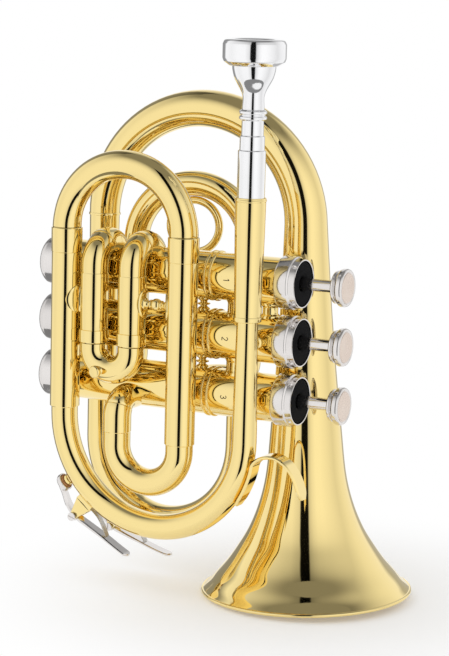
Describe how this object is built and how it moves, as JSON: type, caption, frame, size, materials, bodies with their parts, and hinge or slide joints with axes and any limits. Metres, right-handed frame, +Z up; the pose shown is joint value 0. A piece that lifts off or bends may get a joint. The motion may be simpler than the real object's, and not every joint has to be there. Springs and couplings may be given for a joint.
{
  "type": "pocket trumpet",
  "caption": "Compact folded brass trumpet with piston valves, four tuning slides, water keys, finger hook and mouthpiece.",
  "frame": {"origin": "centre of the bell rim, at the foot of the bell's axis", "axes": "+Z up, away from the bell's mouth and along the mouthpiece; +X along the valves towards the finger buttons; +Y away from the leadpipe and main slide, towards the third slide"},
  "size_m": [0.1684, 0.1071, 0.2483],
  "materials": {
    "lacquered_brass": "clear lacquer, polished",
    "silver_plate": "polished",
    "nickel_plate": "polished",
    "piston_metal": "lapped satin",
    "spring_steel": "drawn wire",
    "black_felt": "felt",
    "cork": "cut cork",
    "peach_pearl": "pearl"
  },
  "bodies": {
    "horn": {"bell": "lacquered_brass", "bell_bow": "lacquered_brass", "bell_tail": "lacquered_brass", "rear_bow": "lacquered_brass", "main_tube_left": "lacquered_brass", "main_tube_right": "lacquered_brass", "front_bow": "lacquered_brass", "leadpipe": "lacquered_brass", "receiver": "lacquered_brass", "small_bow": "lacquered_brass", "inlet_elbow": "lacquered_brass", "first_slide_tube_1": "lacquered_brass", "first_slide_tube_2": "lacquered_brass", "second_slide_tube_1": "lacquered_brass", "second_slide_tube_2": "lacquered_brass", "third_slide_tube_1": "lacquered_brass", "third_slide_tube_2": "lacquered_brass", "bell_brace": "lacquered_brass", "finger_hook": "lacquered_brass", "casing_1": "lacquered_brass", "top_cap_1": "nickel_plate", "bottom_cap_1": "nickel_plate", "cap_felt_1": "black_felt", "valve_spring_1": "spring_steel", "casing_2": "lacquered_brass", "top_cap_2": "nickel_plate", "bottom_cap_2": "nickel_plate", "cap_felt_2": "black_felt", "valve_spring_2": "spring_steel", "casing_3": "lacquered_brass", "top_cap_3": "nickel_plate", "bottom_cap_3": "nickel_plate", "cap_felt_3": "black_felt", "valve_spring_3": "spring_steel", "front_key_saddle": "lacquered_brass", "front_key_screw": "nickel_plate", "front_key_spring": "spring_steel", "rear_key_saddle": "lacquered_brass", "rear_key_screw": "nickel_plate", "rear_key_spring": "spring_steel"},
    "mouthpiece": {"mouthpiece": "silver_plate"},
    "main_slide": {"main_slide_crook": "lacquered_brass"},
    "first_slide": {"first_slide_crook": "lacquered_brass"},
    "second_slide": {"second_slide_crook": "lacquered_brass"},
    "third_slide": {"third_slide_arch": "lacquered_brass", "third_slide_ring": "lacquered_brass"},
    "valve_1": {"piston_1": "piston_metal", "button_1": "nickel_plate", "button_pearl_1": "peach_pearl"},
    "valve_2": {"piston_2": "piston_metal", "button_2": "nickel_plate", "button_pearl_2": "peach_pearl"},
    "valve_3": {"piston_3": "piston_metal", "button_3": "nickel_plate", "button_pearl_3": "peach_pearl"},
    "front_key": {"front_key_lever": "nickel_plate", "front_key_cork": "cork"},
    "rear_key": {"rear_key_lever": "nickel_plate", "rear_key_cork": "cork"}
  },
  "joints": [
    {"name": "mouthpiece_pull", "type": "slide", "parent": "horn", "child": "mouthpiece", "axis": [0, 0, 1], "range_m": [0, 0.022]},
    {"name": "main_slide_pull", "type": "slide", "parent": "horn", "child": "main_slide", "axis": [0, 0, 1], "range_m": [0, 0.035]},
    {"name": "first_slide_pull", "type": "slide", "parent": "horn", "child": "first_slide", "axis": [0, 0, -1], "range_m": [0, 0.002]},
    {"name": "second_slide_pull", "type": "slide", "parent": "horn", "child": "second_slide", "axis": [0, 1, 0], "range_m": [0, 0.015]},
    {"name": "third_slide_pull", "type": "slide", "parent": "horn", "child": "third_slide", "axis": [0, 0, 1], "range_m": [0, 0.018]},
    {"name": "valve_1_press", "type": "slide", "parent": "horn", "child": "valve_1", "axis": [-1, 0, 0], "range_m": [0, 0.0145], "stiffness_N_per_m": 120, "springref_m": -0.01, "deforming": ["valve_spring_1"]},
    {"name": "valve_2_press", "type": "slide", "parent": "horn", "child": "valve_2", "axis": [-1, 0, 0], "range_m": [0, 0.0145], "stiffness_N_per_m": 120, "springref_m": -0.01, "deforming": ["valve_spring_2"]},
    {"name": "valve_3_press", "type": "slide", "parent": "horn", "child": "valve_3", "axis": [-1, 0, 0], "range_m": [0, 0.0145], "stiffness_N_per_m": 120, "springref_m": -0.01, "deforming": ["valve_spring_3"]},
    {"name": "front_key_turn", "type": "hinge", "parent": "horn", "child": "front_key", "pos_m": [-0.09311, -0.046, 0.03171], "axis": [0, -1, 0], "range_deg": [0, 12], "stiffness_Nm_per_rad": 0.02, "springref_deg": -28.65, "deforming": ["front_key_spring"]},
    {"name": "rear_key_turn", "type": "hinge", "parent": "horn", "child": "rear_key", "pos_m": [-0.09756, -0.00499, 0.01746], "axis": [0, -1, 0], "range_deg": [0, 12], "stiffness_Nm_per_rad": 0.02, "springref_deg": -28.65, "deforming": ["rear_key_spring"]}
  ]
}
